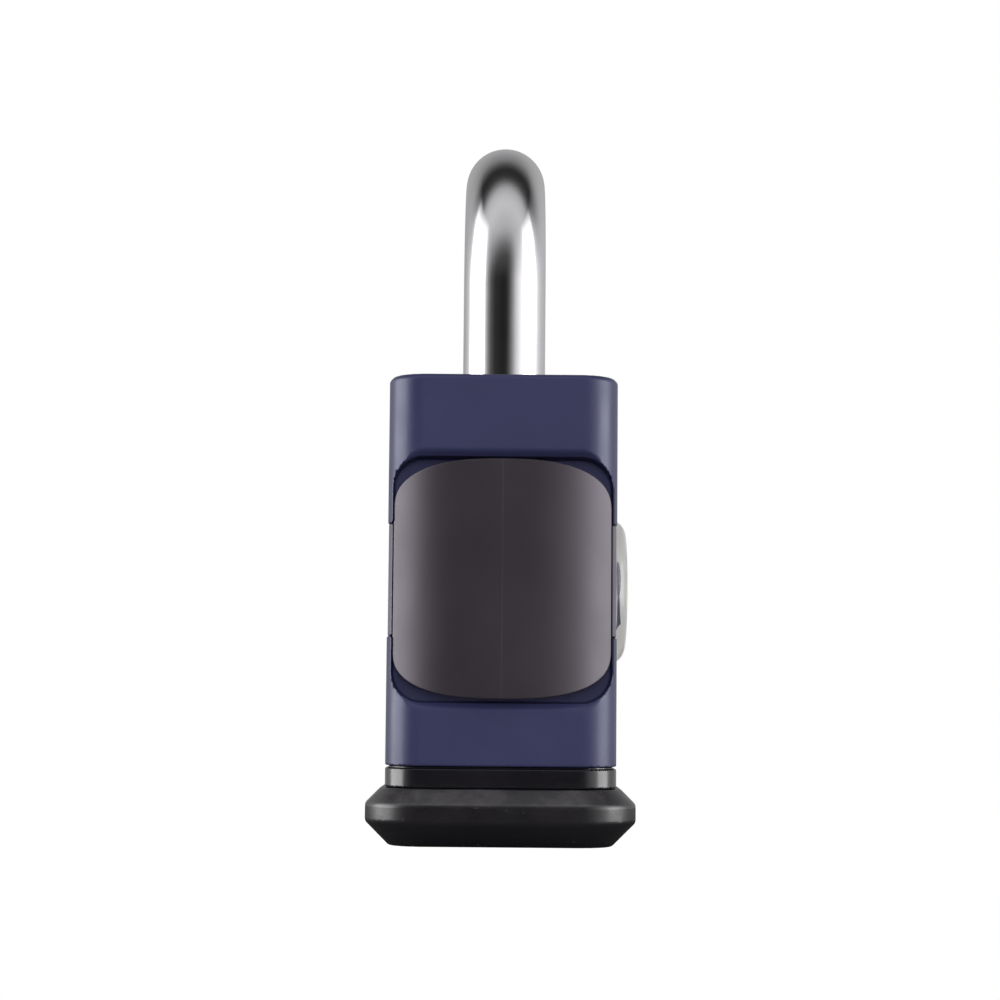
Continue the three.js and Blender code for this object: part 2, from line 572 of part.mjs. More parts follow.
function buttonCarrier() {
  const { r, back, front, stemR, stemEnd, grooveR } = CARRIER;
  return turnedForward([
    [0, stemEnd], [stemR - 0.3, stemEnd], [stemR, stemEnd + 0.3], [stemR, CLIP.back - BOND], [grooveR, CLIP.back - BOND],
    [grooveR, CLIP.front + BOND], [stemR, CLIP.front + BOND], [stemR, back], [r, back], [r, front], [0, front],
  ]);
}

// A ring with a gap at the bottom, to spring over the stem.
function buttonClip() {
  const mouth = box(-2, 2, -CLIP.front - 1, -CLIP.back + 1, BAND_Z - CLIP.outer - 1, BAND_Z);
  return cut(ringForward(CLIP), mouth);
}

function buttonSpring() {
  const { mean, wire, back, front, turns } = BUTTON_SPRING;
  return coil(mean, wire, back, front, turns, 20).rotateX(Math.PI / 2).translate(0, 0, BAND_Z);
}

add("button_bezel", ringForward(BEZEL), GREY_PLASTIC);
add("button_dome", buttonDome(), CLEAR_RESIN);
add("button_badge", rodY(BADGE.r, -BADGE.front, -BADGE.back, 0, BAND_Z), BADGE_INK);
add("button_carrier", buttonCarrier(), BLACK_PLASTIC);
add("button_spring", buttonSpring(), TOOL_STEEL);
add("button_seal", ringForward(BUTTON_SEAL), BLACK_RUBBER);
add("button_clip", buttonClip(), TOOL_STEEL);

export default padlock;
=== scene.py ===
"""Looks for a keyless padlock: smooth skins for what shows, materials for every piece, and the studio.

Shapes are signed distances in millimetres, in the CAD's frame, turned into meshes by surface nets.
X runs along the padlock's width, its front faces -Y, and Z is up.
"""
import math

import bpy
import numpy as np
from mathutils import Matrix, Vector


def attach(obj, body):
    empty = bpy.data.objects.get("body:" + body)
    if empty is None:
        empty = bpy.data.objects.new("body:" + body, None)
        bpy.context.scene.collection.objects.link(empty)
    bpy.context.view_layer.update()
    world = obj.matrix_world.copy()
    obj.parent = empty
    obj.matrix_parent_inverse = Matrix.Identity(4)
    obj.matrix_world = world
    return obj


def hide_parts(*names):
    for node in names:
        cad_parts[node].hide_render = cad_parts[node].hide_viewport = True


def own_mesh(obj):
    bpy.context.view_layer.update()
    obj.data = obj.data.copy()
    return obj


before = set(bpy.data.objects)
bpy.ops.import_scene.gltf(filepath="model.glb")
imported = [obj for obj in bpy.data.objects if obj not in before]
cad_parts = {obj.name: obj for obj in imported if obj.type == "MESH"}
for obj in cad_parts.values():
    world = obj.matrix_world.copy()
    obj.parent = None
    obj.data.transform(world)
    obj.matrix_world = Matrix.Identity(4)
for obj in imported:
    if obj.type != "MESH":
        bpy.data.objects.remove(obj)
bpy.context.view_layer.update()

MM = 0.001

# ---- Sizes, in millimetres --------------------------------------------------------------------
# A "corner" is a radius seen from above. An "inner" or "outer" face is that far from the middle plane.
BODY = {"half_x": 26.5, "half_y": 13.6, "corner": 4.4, "bottom": 9.3, "top": 55.2, "chamfer": 0.5}
BAND_Z = 31.05  # middle of the covers, the fascias and the button
POCKET = {"half_y": 12.9, "half_z": 14.4, "corner": 3.6, "lip": 25.85, "floor": 23.0}
CHANNEL = {"inner": 11.7, "half_z": 6.62, "hub_r": 12.35}
BUTTON_WELL = ((9.9, 11.0), (8.2, 10.2), (6.0, 8.2))  # each step's radius and inner end
BORE = {"r": 5.3, "heel_floor": 13.0, "toe_floor": 12.0}
SEAL_SEAT = {"r": 6.7, "floor": 53.2}
HALL = {"half_x": 9.3, "front": -9.2, "back": 6.5, "top": 41.5}
CAM_BORE = {"r": 5.7, "bottom": 40.5, "top": 51.5}

COVER_SIZE = {"half_y": 12.84, "flat_z": 8.15, "end_z": 5.8, "bottom": 17.1, "top": 45.0,
              "inner": 23.3, "middle": 28.0, "fall": 3.8, "power": 2.6}
FASCIA_SIZE = {"half_x": 26.4, "half_y": 13.5, "corner": 4.3, "half_z": 6.56, "inner": 12.0,
               "hub_r": 12.2, "hole_r": 10.9, "end_x": 22.7, "end_y": 12.9}

LEG_X = 16.5
BAR_R = 5.0
CROWN_Z = 66.8  # where the shackle's legs meet its bend
HEEL_END = 25.0
TOE_END = 41.0
SHACKLE_TOP = 88.3
SHACKLE_LIFT = 15.0
BALL_Z = 47.0
BALL_ROOM_R = 4.2  # of the balls' bore, and of the hollows that they enter
NOTCH_X = 9.5
SEAL_SIZE = {"mean_r": 5.85, "half_width": 0.6, "bottom": 53.5, "top": 54.95}

COLLAR_Z = (6.8, 9.0)
BOSS = {"half_x": 23.0, "half_y": 11.0, "corner": 3.0, "bottom": 2.8, "top": 7.4}
RIM = {"inset": 0.4, "bottom": 7.0, "top": 9.25}
GASKET_GROOVE = {"outside": (25.2, 12.2, 2.7), "inside": (23.4, 10.4, 0.9), "floor": 8.0}
SCREW_HOLE = {"x": 18.5, "y": 7.6, "r": 1.55, "head_r": 2.65, "head_z": 3.2, "top": 12}
SHOE_SIZE = {"half_x": 28.9, "half_y": 15.9, "corner": 6.8, "top": 6.7, "band": (2.8, 4.9),
             "hollow": (23.3, 11.3, 3.3), "floor": 2.5}

BEZEL = {"mean_r": 10.15, "half_width": 0.45, "outer_r": 10.6, "inner": 12.0, "outer": 14.2}
DOME = {"r": 9.3, "back": 13.45, "front": 15.9, "bow": 0.003, "shoulder": 2.0}

# ---- Signed distances -------------------------------------------------------------------------
SLANT = math.sqrt(0.5)  # makes the sum of two distances the distance from a 45 degree chamfer
TINY = 1e-9  # keeps a divisor off zero


def hypot(a, b):
    return np.sqrt(a * a + b * b)


def both(a, b, fillet=0.0):
    """The common part of two shapes, its edge rounded by the fillet."""
    if not fillet:
        return np.maximum(a, b)
    return np.minimum(np.maximum(a, b), -fillet) + hypot(np.maximum(a + fillet, 0), np.maximum(b + fillet, 0))


def less(a, b, fillet=0.0):
    """Shape a without shape b."""
    return both(a, -b, fillet)


def either(a, b, fillet=0.0):
    """Two shapes joined, with a fillet in the corner between them."""
    return -both(-a, -b, fillet)


def plate(u, v, half_u, half_v, corner):
    """A rectangle with rounded corners, in a plane."""
    du = np.abs(u) - half_u + corner
    dv = np.abs(v) - half_v + corner
    return hypot(np.maximum(du, 0), np.maximum(dv, 0)) + np.minimum(np.maximum(du, dv), 0) - corner


def between(w, low, high):
    return np.abs(w - (low + high) / 2) - (high - low) / 2


def body_outline(x, y):
    return plate(x, y, BODY["half_x"], BODY["half_y"], BODY["corner"])


def leg(x, y):
    """Distance from the nearer leg's axis."""
    return hypot(np.abs(x) - LEG_X, y)


def lock_body(x, y, z):
    up = z - BAND_Z
    outline = body_outline(x, y)
    shape = both(outline, between(z, BODY["bottom"], BODY["top"]), fillet=0.12)
    shape = both(shape, (outline + z - BODY["top"] + BODY["chamfer"]) * SLANT, fillet=0.12)
    # Side pockets with chamfered lips.
    pocket = plate(y, up, POCKET["half_y"], POCKET["half_z"], POCKET["corner"])
    flare = (pocket - (np.abs(x) - POCKET["lip"])) * SLANT
    pocket = both(np.minimum(pocket, flare), POCKET["floor"] - np.abs(x), fillet=0.25)
    shape = less(shape, pocket, fillet=0.16)
    # Channels for the fascias, and the round one for the button.
    around = hypot(x, up)
    channel = both(CHANNEL["inner"] - np.abs(y), np.abs(up) - CHANNEL["half_z"])
    hub = both(CHANNEL["inner"] + y, around - CHANNEL["hub_r"])
    shape = less(shape, np.minimum(channel, hub), fillet=0.06)
    well = np.minimum.reduce([both(around - radius, y + inner) for radius, inner in BUTTON_WELL])
    shape = less(shape, well, fillet=0.12)
    # Shackle holes, their seal seats, and the rooms for the works.
    bores = both(leg(x, y) - BORE["r"], np.where(x > 0, BORE["toe_floor"], BORE["heel_floor"]) - z)
    seats = both(leg(x, y) - SEAL_SEAT["r"], SEAL_SEAT["floor"] - z)
    shape = less(shape, np.minimum(bores, seats), fillet=0.25)
    hall = both(both(np.abs(x) - HALL["half_x"], between(y, HALL["front"], HALL["back"])), z - HALL["top"])
    cam_bore = both(hypot(x, y) - CAM_BORE["r"], between(z, CAM_BORE["bottom"], CAM_BORE["top"]))
    ball_bore = both(hypot(y, z - BALL_Z) - BALL_ROOM_R, np.abs(x) - LEG_X)
    rooms = np.minimum(np.minimum(hall, cam_bore), ball_bore)
    return less(shape, rooms, fillet=0.12)


def side_cover(side):
    """A cushion: a superellipse in outline, with its middle standing out furthest."""
    half, end, power = COVER_SIZE["half_y"], COVER_SIZE["end_z"], COVER_SIZE["power"]

    def shape(x, y, z):
        out = side * x
        across = np.abs(y) / half
        along = np.maximum(np.abs(z - BAND_Z) - COVER_SIZE["flat_z"], 0) / end
        reach = (across**power + along**power) ** (1 / power) + TINY
        slope = hypot((across / reach) ** (power - 1) / half, (along / reach) ** (power - 1) / end) + TINY
        outline = (reach - 1) / slope
        crown = COVER_SIZE["middle"] - COVER_SIZE["fall"] * across**power
        lean = COVER_SIZE["fall"] * power / half * across ** (power - 1)
        face = (out - crown) / np.sqrt(1 + lean * lean)
        return both(both(face, outline, fillet=0.1), COVER_SIZE["inner"] - out, fillet=0.06)
    return shape


def fascia(side):
    """A band across the front or the back, wrapped onto the corners. The front one has a round eye."""
    def shape(x, y, z):
        out = side * y
        up = z - BAND_Z
        band = np.abs(up) - FASCIA_SIZE["half_z"]
        if side < 0:
            band = either(band, hypot(x, up) - FASCIA_SIZE["hub_r"], fillet=0.4)
        outline = plate(x, y, FASCIA_SIZE["half_x"], FASCIA_SIZE["half_y"], FASCIA_SIZE["corner"])
        piece = both(both(outline, band, fillet=0.08), FASCIA_SIZE["inner"] - out)
        beside_cover = both(FASCIA_SIZE["end_x"] - np.abs(x), out - FASCIA_SIZE["end_y"])
        piece = less(piece, beside_cover, fillet=0.05)
        if side < 0:
            piece = less(piece, hypot(x, up) - FASCIA_SIZE["hole_r"], fillet=0.15)
        return piece
    return shape


def base_plate(x, y, z):
    collar = both(body_outline(x, y), between(z, *COLLAR_Z), fillet=0.12)
    boss = both(plate(x, y, BOSS["half_x"], BOSS["half_y"], BOSS["corner"]),
                between(z, BOSS["bottom"], BOSS["top"]), fillet=0.3)
    rim = both(body_outline(x, y) + RIM["inset"], between(z, RIM["bottom"], RIM["top"]))
    shape = np.minimum(np.minimum(collar, boss), rim)
    ring = np.maximum(plate(x, y, *GASKET_GROOVE["outside"]), -plate(x, y, *GASKET_GROOVE["inside"]))
    shape = less(shape, both(ring, GASKET_GROOVE["floor"] - z))
    # Screw holes, each with a countersink from below.
    away = hypot(np.abs(x) - SCREW_HOLE["x"], np.abs(y) - SCREW_HOLE["y"])
    cone = SCREW_HOLE["head_r"] - (z - SCREW_HOLE["head_z"])
    radius = np.clip(cone, SCREW_HOLE["r"], SCREW_HOLE["head_r"])
    return less(shape, np.maximum(away - radius, z - SCREW_HOLE["top"]))


def base_bumper(x, y, z):
    outline = plate(x, y, SHOE_SIZE["half_x"], SHOE_SIZE["half_y"], SHOE_SIZE["corner"])
    band_low, band_high = SHOE_SIZE["band"]
    upper = (outline + (z - band_high)) * SLANT
    lower = (outline + (band_low - z)) * SLANT
    shape = both(both(outline, upper, fillet=0.2), lower, fillet=0.2)
    shape = both(shape, -z, fillet=0.15)
    shape = both(shape, z - SHOE_SIZE["top"], fillet=0.12)
    return less(shape, both(plate(x, y, *SHOE_SIZE["hollow"]), SHOE_SIZE["floor"] - z), fillet=0.2)


def shackle(x, y, z):
    bent = hypot(hypot(x, z - CROWN_Z) - LEG_X, y)
    bar = np.where(z < CROWN_Z, leg(x, y), bent) - BAR_R
    bar = both(bar, np.where(x > 0, TOE_END, HEEL_END) - z, fillet=0.8)
    # The heel's groove faces its ball at full lift. The notches face the balls at rest.
    groove = hypot(hypot(x + LEG_X, y) - (LEG_X - NOTCH_X), z - (BALL_Z - SHACKLE_LIFT)) - BALL_ROOM_R
    notches = np.sqrt((np.abs(x) - NOTCH_X) ** 2 + y * y + (z - BALL_Z) ** 2) - BALL_ROOM_R
    return less(bar, np.minimum(groove, notches), fillet=0.3)


def seal(side):
    def shape(x, y, z):
        ring = np.abs(hypot(x - side * LEG_X, y) - SEAL_SIZE["mean_r"]) - SEAL_SIZE["half_width"]
        return both(ring, between(z, SEAL_SIZE["bottom"], SEAL_SIZE["top"]), fillet=0.35)
    return shape


def button_bezel(x, y, z):
    ring = np.abs(hypot(x, z - BAND_Z) - BEZEL["mean_r"]) - BEZEL["half_width"]
    return both(ring, between(-y, BEZEL["inner"], BEZEL["outer"]), fillet=0.3)


def button_dome(x, y, z):
    away = hypot(x, z - BAND_Z)
    face = -y - DOME["front"] + DOME["bow"] * away * away
    return both(both(away - DOME["r"], face, fillet=DOME["shoulder"]), DOME["back"] + y, fillet=0.1)


# ---- Meshes -----------------------------------------------------------------------------------
NORMAL_STEP = 0.02  # mm to each side, to find a surface's normal for shading
CREASE = math.radians(14)  # a normal that turns more than this within a triangle marks an edge
TOWARDS_MIDDLE = 0.35  # where in its triangle a corner at an edge takes its normal


def gradient(shape, points, step=0.01):
    """Unit outward directions of a shape's surface at the points."""
    slopes = []
    for axis in range(3):
        ahead = [points[:, i] + (step if i == axis else 0) for i in range(3)]
        back = [points[:, i] - (step if i == axis else 0) for i in range(3)]
        slopes.append((shape(*ahead) - shape(*back)) / (2 * step))
    slopes = np.stack(slopes, axis=1)
    return slopes / np.maximum(np.linalg.norm(slopes, axis=1, keepdims=True), TINY)


def settle(shape, points, rounds=3):
    """Points drawn onto the shape's surface."""
    for _ in range(rounds):
        points = points - gradient(shape, points) * shape(*points.T)[:, None]
    return points


def surface_nets(shape, low, high, step):
    """Points and quads of a shape's surface, from a grid of cells with a margin round the box."""
    axes = [np.arange(a - 1.5 * step, b + 2.5 * step, step) for a, b in zip(low, high)]
    x, y, z = np.meshgrid(*axes, indexing="ij")
    value = shape(x, y, z)
    inside = value < 0
    size = np.array(value.shape)
    total = np.zeros(tuple(size - 1) + (3,))
    count = np.zeros(tuple(size - 1))
    corners = [(i, j, k) for i in (0, 1) for j in (0, 1) for k in (0, 1)]

    def at(array, corner):
        return array[tuple(slice(c, n - 1 + c) for c, n in zip(corner, size))]

    # One point in each cell that the surface crosses: the mean of where it crosses the cell's edges.
    for first in corners:
        for axis in range(3):
            if first[axis]:
                continue
            second = tuple(c + (i == axis) for i, c in enumerate(first))
            a, b = at(value, first), at(value, second)
            crossed = (a < 0) != (b < 0)
            part = np.where(crossed, a / np.where(crossed, a - b, 1), 0)
            for i in range(3):
                total[..., i] += np.where(crossed, first[i] + (part if i == axis else 0), 0)
            count += crossed
    used = count > 0
    number = np.full(used.shape, -1)
    number[used] = np.arange(used.sum())
    cells = np.argwhere(used)
    start = np.array([a[0] for a in axes])
    points = start + step * (cells + total[used] / count[used][:, None])
    # One quad round each grid edge that the surface crosses.
    quads = []
    for axis in range(3):
        u, v = (axis + 1) % 3, (axis + 2) % 3
        along = [slice(1, n - 1) for n in size]
        along[axis] = slice(0, size[axis] - 1)
        ahead = list(along)
        ahead[axis] = slice(1, size[axis])
        a, b = inside[tuple(along)], inside[tuple(ahead)]
        base = np.argwhere(a != b)
        outward = (a & ~b)[a != b]
        base += np.array([0 if i == axis else 1 for i in range(3)])
        step_u = np.eye(3, dtype=int)[u]
        step_v = np.eye(3, dtype=int)[v]
        turns = ((1, 1), (0, 1), (0, 0), (1, 0))
        ring = np.stack([number[tuple((base - du * step_u - dv * step_v).T)] for du, dv in turns], axis=1)
        quads.append(np.where(outward[:, None], ring, ring[:, ::-1]))
    return points, np.concatenate(quads)


def corner_normals(shape, points, mesh):
    """A normal for each triangle's corners: the surface's own, or at an edge the one inside the triangle."""
    corners = np.empty(len(mesh.loops), dtype=int)
    mesh.loops.foreach_get("vertex_index", corners)
    middle = points[corners.reshape(-1, 3)].mean(axis=1).repeat(3, axis=0)
    smooth = gradient(shape, points, NORMAL_STEP)[corners]
    inwards = points[corners] * (1 - TOWARDS_MIDDLE) + middle * TOWARDS_MIDDLE
    near = gradient(shape, inwards, NORMAL_STEP)
    same = (smooth * near).sum(axis=1, keepdims=True) > math.cos(CREASE)
    return np.where(same, smooth, near)


def skin(name, shape, low, high, step, keep):
    """A smooth mesh of a shape. keep is the share of its triangles that stay after thinning."""
    points, quads = surface_nets(shape, low, high, step)
    points = settle(shape, points)
    mesh = bpy.data.meshes.new(name)
    mesh.from_pydata((points * MM).tolist(), [], quads.tolist())
    obj = bpy.data.objects.new(name, mesh)
    bpy.context.scene.collection.objects.link(obj)
    thin = obj.modifiers.new("thin", "DECIMATE")
    thin.ratio = keep
    thin.use_collapse_triangulate = True
    depsgraph = bpy.context.evaluated_depsgraph_get()
    thinned = bpy.data.meshes.new_from_object(obj.evaluated_get(depsgraph))
    obj.modifiers.clear()
    obj.data = thinned
    bpy.data.meshes.remove(mesh)
    place = np.empty(len(thinned.vertices) * 3)
    thinned.vertices.foreach_get("co", place)
    points = settle(shape, place.reshape(-1, 3) / MM, rounds=2)
    thinned.vertices.foreach_set("co", (points * MM).ravel())
    thinned.shade_smooth()
    thinned.normals_split_custom_set(corner_normals(shape, points, thinned).tolist())
    thinned.name = name
    thinned.update()
    return obj


def fit(name, shape, body, material, low, high, step=0.2, keep=0.4):
    """A smooth piece that stands for the CAD node of that name."""
    obj = skin(name + "_skin", shape, low, high, step, keep)
    obj.data.materials.clear()
    obj.data.materials.append(material)
    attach(obj, body)
    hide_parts(name)
    return obj


def coil_spring(name, place, mean, wire, low, high, turns, steps_per_turn=48, sides=12):
    """A round-wire spring for the CAD node of that name. place carries points from along Z to their place."""
    steps = round(turns * steps_per_turn)
    turn = np.linspace(0, 2 * math.pi * turns, steps + 1)[:, None]
    rise = np.linspace(low + wire, high - wire, steps + 1)[:, None]
    around = np.arange(sides)[None, :] * 2 * math.pi / sides
    radius = mean + wire * np.cos(around)
    rings = place(radius * np.cos(turn), radius * np.sin(turn), rise + wire * np.sin(around))
    points = np.stack(rings, axis=-1).reshape(-1, 3)
    faces = [tuple(range(sides)), tuple(range(steps * sides + sides - 1, steps * sides - 1, -1))]
    for ring in range(0, steps * sides, sides):
        for i in range(sides):
            ahead = (i + 1) % sides
            faces.append((ring + i, ring + sides + i, ring + sides + ahead, ring + ahead))
    mesh = bpy.data.meshes.new(name + "_coil")
    mesh.from_pydata((points * MM).tolist(), [], faces)
    mesh.shade_smooth()
    mesh.materials.append(WIRE)
    obj = bpy.data.objects.new(name + "_coil", mesh)
    bpy.context.scene.collection.objects.link(obj)
    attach(obj, "housing")
    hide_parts(name)
    return obj


# ---- Materials --------------------------------------------------------------------------------
NOISE_SPAN = (0.3, 0.7)  # where nearly all of a noise texture's values lie
UPRIGHT = (1.0, 1.0, 0.08)  # draws a texture out along Z


def rgb(r, g, b):
    return (r, g, b, 1.0)


class Look:
    """A material under construction: a Principled shader fed by procedural nodes."""

    def __init__(self, name, **sockets):
        self.material = bpy.data.materials.new(name)
        self.material.use_nodes = True
        self.tree = self.material.node_tree
        self.shader = self.tree.nodes["Principled BSDF"]
        for socket, value in sockets.items():
            self.shader.inputs[socket.replace("_", " ")].default_value = value
        self.place = self.tree.nodes.new("ShaderNodeTexCoord").outputs["Object"]

    def node(self, kind, settings=None, **inputs):
        node = self.tree.nodes.new(kind)
        for key, value in (settings or {}).items():
            setattr(node, key, value)
        for key, value in inputs.items():
            self.feed(node.inputs[key.replace("_", " ")], value)
        return node

    def feed(self, socket, value):
        if isinstance(value, bpy.types.NodeSocket):
            self.tree.links.new(value, socket)
        else:
            socket.default_value = value

    def noise(self, scale, detail=3.0, roughness=0.55, stretch=None):
        place = self.place
        if stretch:
            place = self.node("ShaderNodeMapping", Vector=place, Scale=stretch).outputs[0]
        node = self.node("ShaderNodeTexNoise", Vector=place, Scale=scale, Detail=detail, Roughness=roughness)
        return node.outputs["Fac"]

    def span(self, value, low, high, out_low=0.0, out_high=1.0):
        """Carries low..high over to out_low..out_high, and stops there."""
        node = self.tree.nodes.new("ShaderNodeMapRange")
        for socket, number in zip(node.inputs, (value, low, high, out_low, out_high)):
            self.feed(socket, number)
        return node.outputs[0]

    def math(self, operation, a, b=0.0):
        node = self.tree.nodes.new("ShaderNodeMath")
        node.operation = operation
        self.feed(node.inputs[0], a)
        self.feed(node.inputs[1], b)
        return node.outputs[0]

    def axis(self, name):
        return self.node("ShaderNodeSeparateXYZ", Vector=self.place).outputs[name]

    def length(self, a, b):
        squares = self.math("ADD", self.math("MULTIPLY", a, a), self.math("MULTIPLY", b, b))
        return self.math("SQRT", squares)

    def mix(self, share, a, b):
        node = self.tree.nodes.new("ShaderNodeMix")
        node.data_type = "RGBA"
        self.feed(node.inputs[0], share)
        self.feed(node.inputs[6], a)
        self.feed(node.inputs[7], b)
        return node.outputs[2]

    def blend(self, scale, detail, dark, light):
        """A colour that drifts from dark to light over the surface."""
        return self.mix(self.span(self.noise(scale, detail), *NOISE_SPAN), rgb(*dark), rgb(*light))

    def color(self, value):
        self.feed(self.shader.inputs["Base Color"], value)

    def roughness(self, value):
        self.feed(self.shader.inputs["Roughness"], value)

    def drifting_roughness(self, scale, detail, low, high):
        self.roughness(self.span(self.noise(scale, detail), *NOISE_SPAN, low, high))

    def bump(self, height, strength, distance=0.0001):
        node = self.node("ShaderNodeBump", Height=height, Strength=strength, Distance=distance)
        self.feed(self.shader.inputs["Normal"], node.outputs[0])


def navy_paint():
    look = Look("navy_paint", Metallic=0.15, Coat_Weight=0.2, Coat_Roughness=0.25)
    look.color(look.blend(90, 4, (0.028, 0.03, 0.083), (0.034, 0.036, 0.098)))
    look.drifting_roughness(260, 5, 0.34, 0.46)
    look.bump(look.noise(2600, 2), 0.12)
    return look.material


def satin_plastic(name, dark, light, roughness, seam=False):
    """Moulded plastic. A seam is the faint line that the mould leaves down the middle."""
    look = Look(name, Specular_IOR_Level=0.75, Specular_Tint=rgb(1.0, 0.93, 1.04))
    color = look.blend(120, 4, dark, light)
    height = look.noise(1500, 2)
    if seam:
        beside = look.math("ABSOLUTE", look.axis("Y"))
        line = look.span(beside, 0.00004, 0.00011, 1.0, 0.0)
        color = look.mix(look.math("MULTIPLY", line, 0.14), color, rgb(0.11, 0.1, 0.105))
        height = look.math("ADD", height, look.math("MULTIPLY", line, 0.4))
    look.color(color)
    look.drifting_roughness(160, 3, roughness - 0.03, roughness + 0.03)
    look.bump(height, 0.03)
    return look.material


def rubber(name, shade, dust_and_painted_top_light=True):
    look = Look(name, Specular_IOR_Level=1.0)
    base = look.blend(150, 5, shade, [c * 1.5 for c in shade])
    # Besides specks and scuffs, this adds a paler film on up-facing faces that is partly dust, partly painted
    # light from above.
    if dust_and_painted_top_light:
        specks = look.span(look.noise(2300, 1.5, 0.4), 0.71, 0.78)
        patches = look.span(look.noise(240, 3), 0.5, 0.7)
        base = look.mix(look.math("MULTIPLY", specks, patches), base, rgb(0.22, 0.21, 0.2))
        scuff = look.noise(420, 4, 0.7, stretch=(0.25, 0.25, 1.0))
        base = look.mix(look.span(scuff, 0.62, 0.8, 0.0, 0.5), base, rgb(0.075, 0.07, 0.075))
        # Paler where it faces up: partly dust that settles there, partly painted light from above.
        facing = look.node("ShaderNodeNewGeometry").outputs["Normal"]
        upward = look.span(look.node("ShaderNodeSeparateXYZ", Vector=facing).outputs["Z"], 0.3, 0.6)
        dust_and_painted_light = look.math("MULTIPLY", upward, look.span(look.noise(75, 8, 0.75), 0.5, 0.62, 0.2, 0.9))
        base = look.mix(dust_and_painted_light, base, rgb(0.05, 0.046, 0.05))
    look.color(base)
    look.drifting_roughness(500, 4, 0.27, 0.4)
    look.bump(look.noise(1700, 3), 0.1)
    return look.material


def collar_paint():
    look = Look("collar_paint", Specular_IOR_Level=0.75, Coat_Weight=0.3, Coat_Roughness=0.1)
    look.color(look.blend(140, 4, (0.0055, 0.005, 0.007), (0.0085, 0.0075, 0.0105)))
    look.drifting_roughness(500, 4, 0.16, 0.25)
    look.bump(look.noise(2800, 2), 0.05)
    return look.material


def plated_steel():
    """Bright plating with a little haze, fine scratches along the bar, slow waves and a few pits."""
    look = Look("plated_steel", Metallic=1.0)
    look.color(look.blend(130, 4, (0.79, 0.775, 0.8), (0.86, 0.845, 0.87)))
    scratches = look.noise(1800, 3, 0.6, stretch=(1.0, 1.0, 0.06))
    haze = look.span(look.noise(220, 5), 0.35, 0.7, 0.07, 0.14)
    look.roughness(look.math("ADD", haze, look.span(scratches, 0.6, 0.8, 0.0, 0.1)))
    waves = look.noise(330, 3, 0.6, stretch=(1.0, 1.0, 0.16))
    pits = look.span(look.noise(900, 2), 0.7, 0.76)
    height = look.math("ADD", look.math("MULTIPLY", scratches, 0.06), look.math("MULTIPLY", waves, 0.5))
    look.bump(look.math("ADD", height, look.math("MULTIPLY", pits, 0.25)), 0.2, 0.00008)
    return look.material


def bare_steel(name, shade, roughness, stretch=UPRIGHT):
    look = Look(name, Metallic=1.0)
    brushed = look.noise(1500, 3, 0.6, stretch=stretch)
    bright = [min(c * 1.25, 1) for c in shade]
    look.color(look.mix(look.span(brushed, *NOISE_SPAN), rgb(*shade), rgb(*bright)))
    look.drifting_roughness(300, 4, roughness - 0.06, roughness + 0.1)
    look.bump(brushed, 0.1)
    return look.material


def clear_resin():
    look = Look("clear_resin", Transmission_Weight=1.0, IOR=1.49)
    look.color(look.blend(200, 2, (0.99, 0.99, 0.985), (1, 1, 1)))
    look.roughness(look.span(look.noise(900, 3), 0.55, 0.8, 0.02, 0.08))
    return look.material


# The print on the badge, in metres from the badge's middle.
PRINT_SOFT = 0.00006  # blur at a printed edge
PRINT_RING = (0.0076, 0.008)
KEYHOLE = {"eye_up": 0.001, "eye_r": 0.0016, "foot": -0.0032, "foot_half": 0.0014, "neck_half": 0.0006}


def badge_print():
    """White disc, navy ring and a plain keyhole."""
    look = Look("badge_print")
    across, up = look.axis("X"), look.math("SUBTRACT", look.axis("Z"), BAND_Z * MM)

    def above(value, edge):
        return look.span(value, edge, edge + PRINT_SOFT)

    def below(value, edge):
        return look.span(value, edge, edge + PRINT_SOFT, 1.0, 0.0)

    away = look.length(across, up)
    ring = look.math("MULTIPLY", above(away, PRINT_RING[0] - PRINT_SOFT), below(away, PRINT_RING[1]))
    eye = below(look.length(across, look.math("SUBTRACT", up, KEYHOLE["eye_up"])), KEYHOLE["eye_r"])
    half = look.span(up, KEYHOLE["foot"], KEYHOLE["eye_up"], KEYHOLE["foot_half"], KEYHOLE["neck_half"])
    side = look.math("SUBTRACT", half, look.math("ABSOLUTE", across))
    slot = look.math("MULTIPLY", above(side, 0.0), above(up, KEYHOLE["foot"]))
    slot = look.math("MULTIPLY", slot, below(up, KEYHOLE["eye_up"]))
    keyhole = look.math("MAXIMUM", eye, slot)
    white = look.blend(600, 3, (0.88, 0.87, 0.84), (0.94, 0.93, 0.9))
    look.color(look.mix(look.math("MAXIMUM", keyhole, ring), white, rgb(0.02, 0.024, 0.1)))
    look.drifting_roughness(800, 2, 0.3, 0.42)
    return look.material


def circuit_board():
    """Green board with paler tracks."""
    look = Look("circuit_board", Coat_Weight=0.3)
    cells = look.node("ShaderNodeTexVoronoi", {"feature": "DISTANCE_TO_EDGE"}, Vector=look.place, Scale=450.0)
    track = look.span(cells.outputs["Distance"], 0.03, 0.06, 1.0, 0.0)
    look.color(look.mix(track, rgb(0.01, 0.075, 0.03), rgb(0.02, 0.13, 0.05)))
    look.drifting_roughness(900, 3, 0.3, 0.45)
    look.bump(track, 0.3, 0.00003)
    return look.material


def cell_sleeve():
    """Blue sleeve with a plain bright band round its upper end."""
    look = Look("cell_sleeve", Coat_Weight=0.4)
    band = look.span(look.axis("Z"), 0.0335, 0.0336)
    base = look.blend(300, 3, (0.02, 0.06, 0.22), (0.03, 0.085, 0.28))
    look.color(look.mix(band, base, rgb(0.7, 0.7, 0.72)))
    look.drifting_roughness(600, 3, 0.2, 0.35)
    return look.material


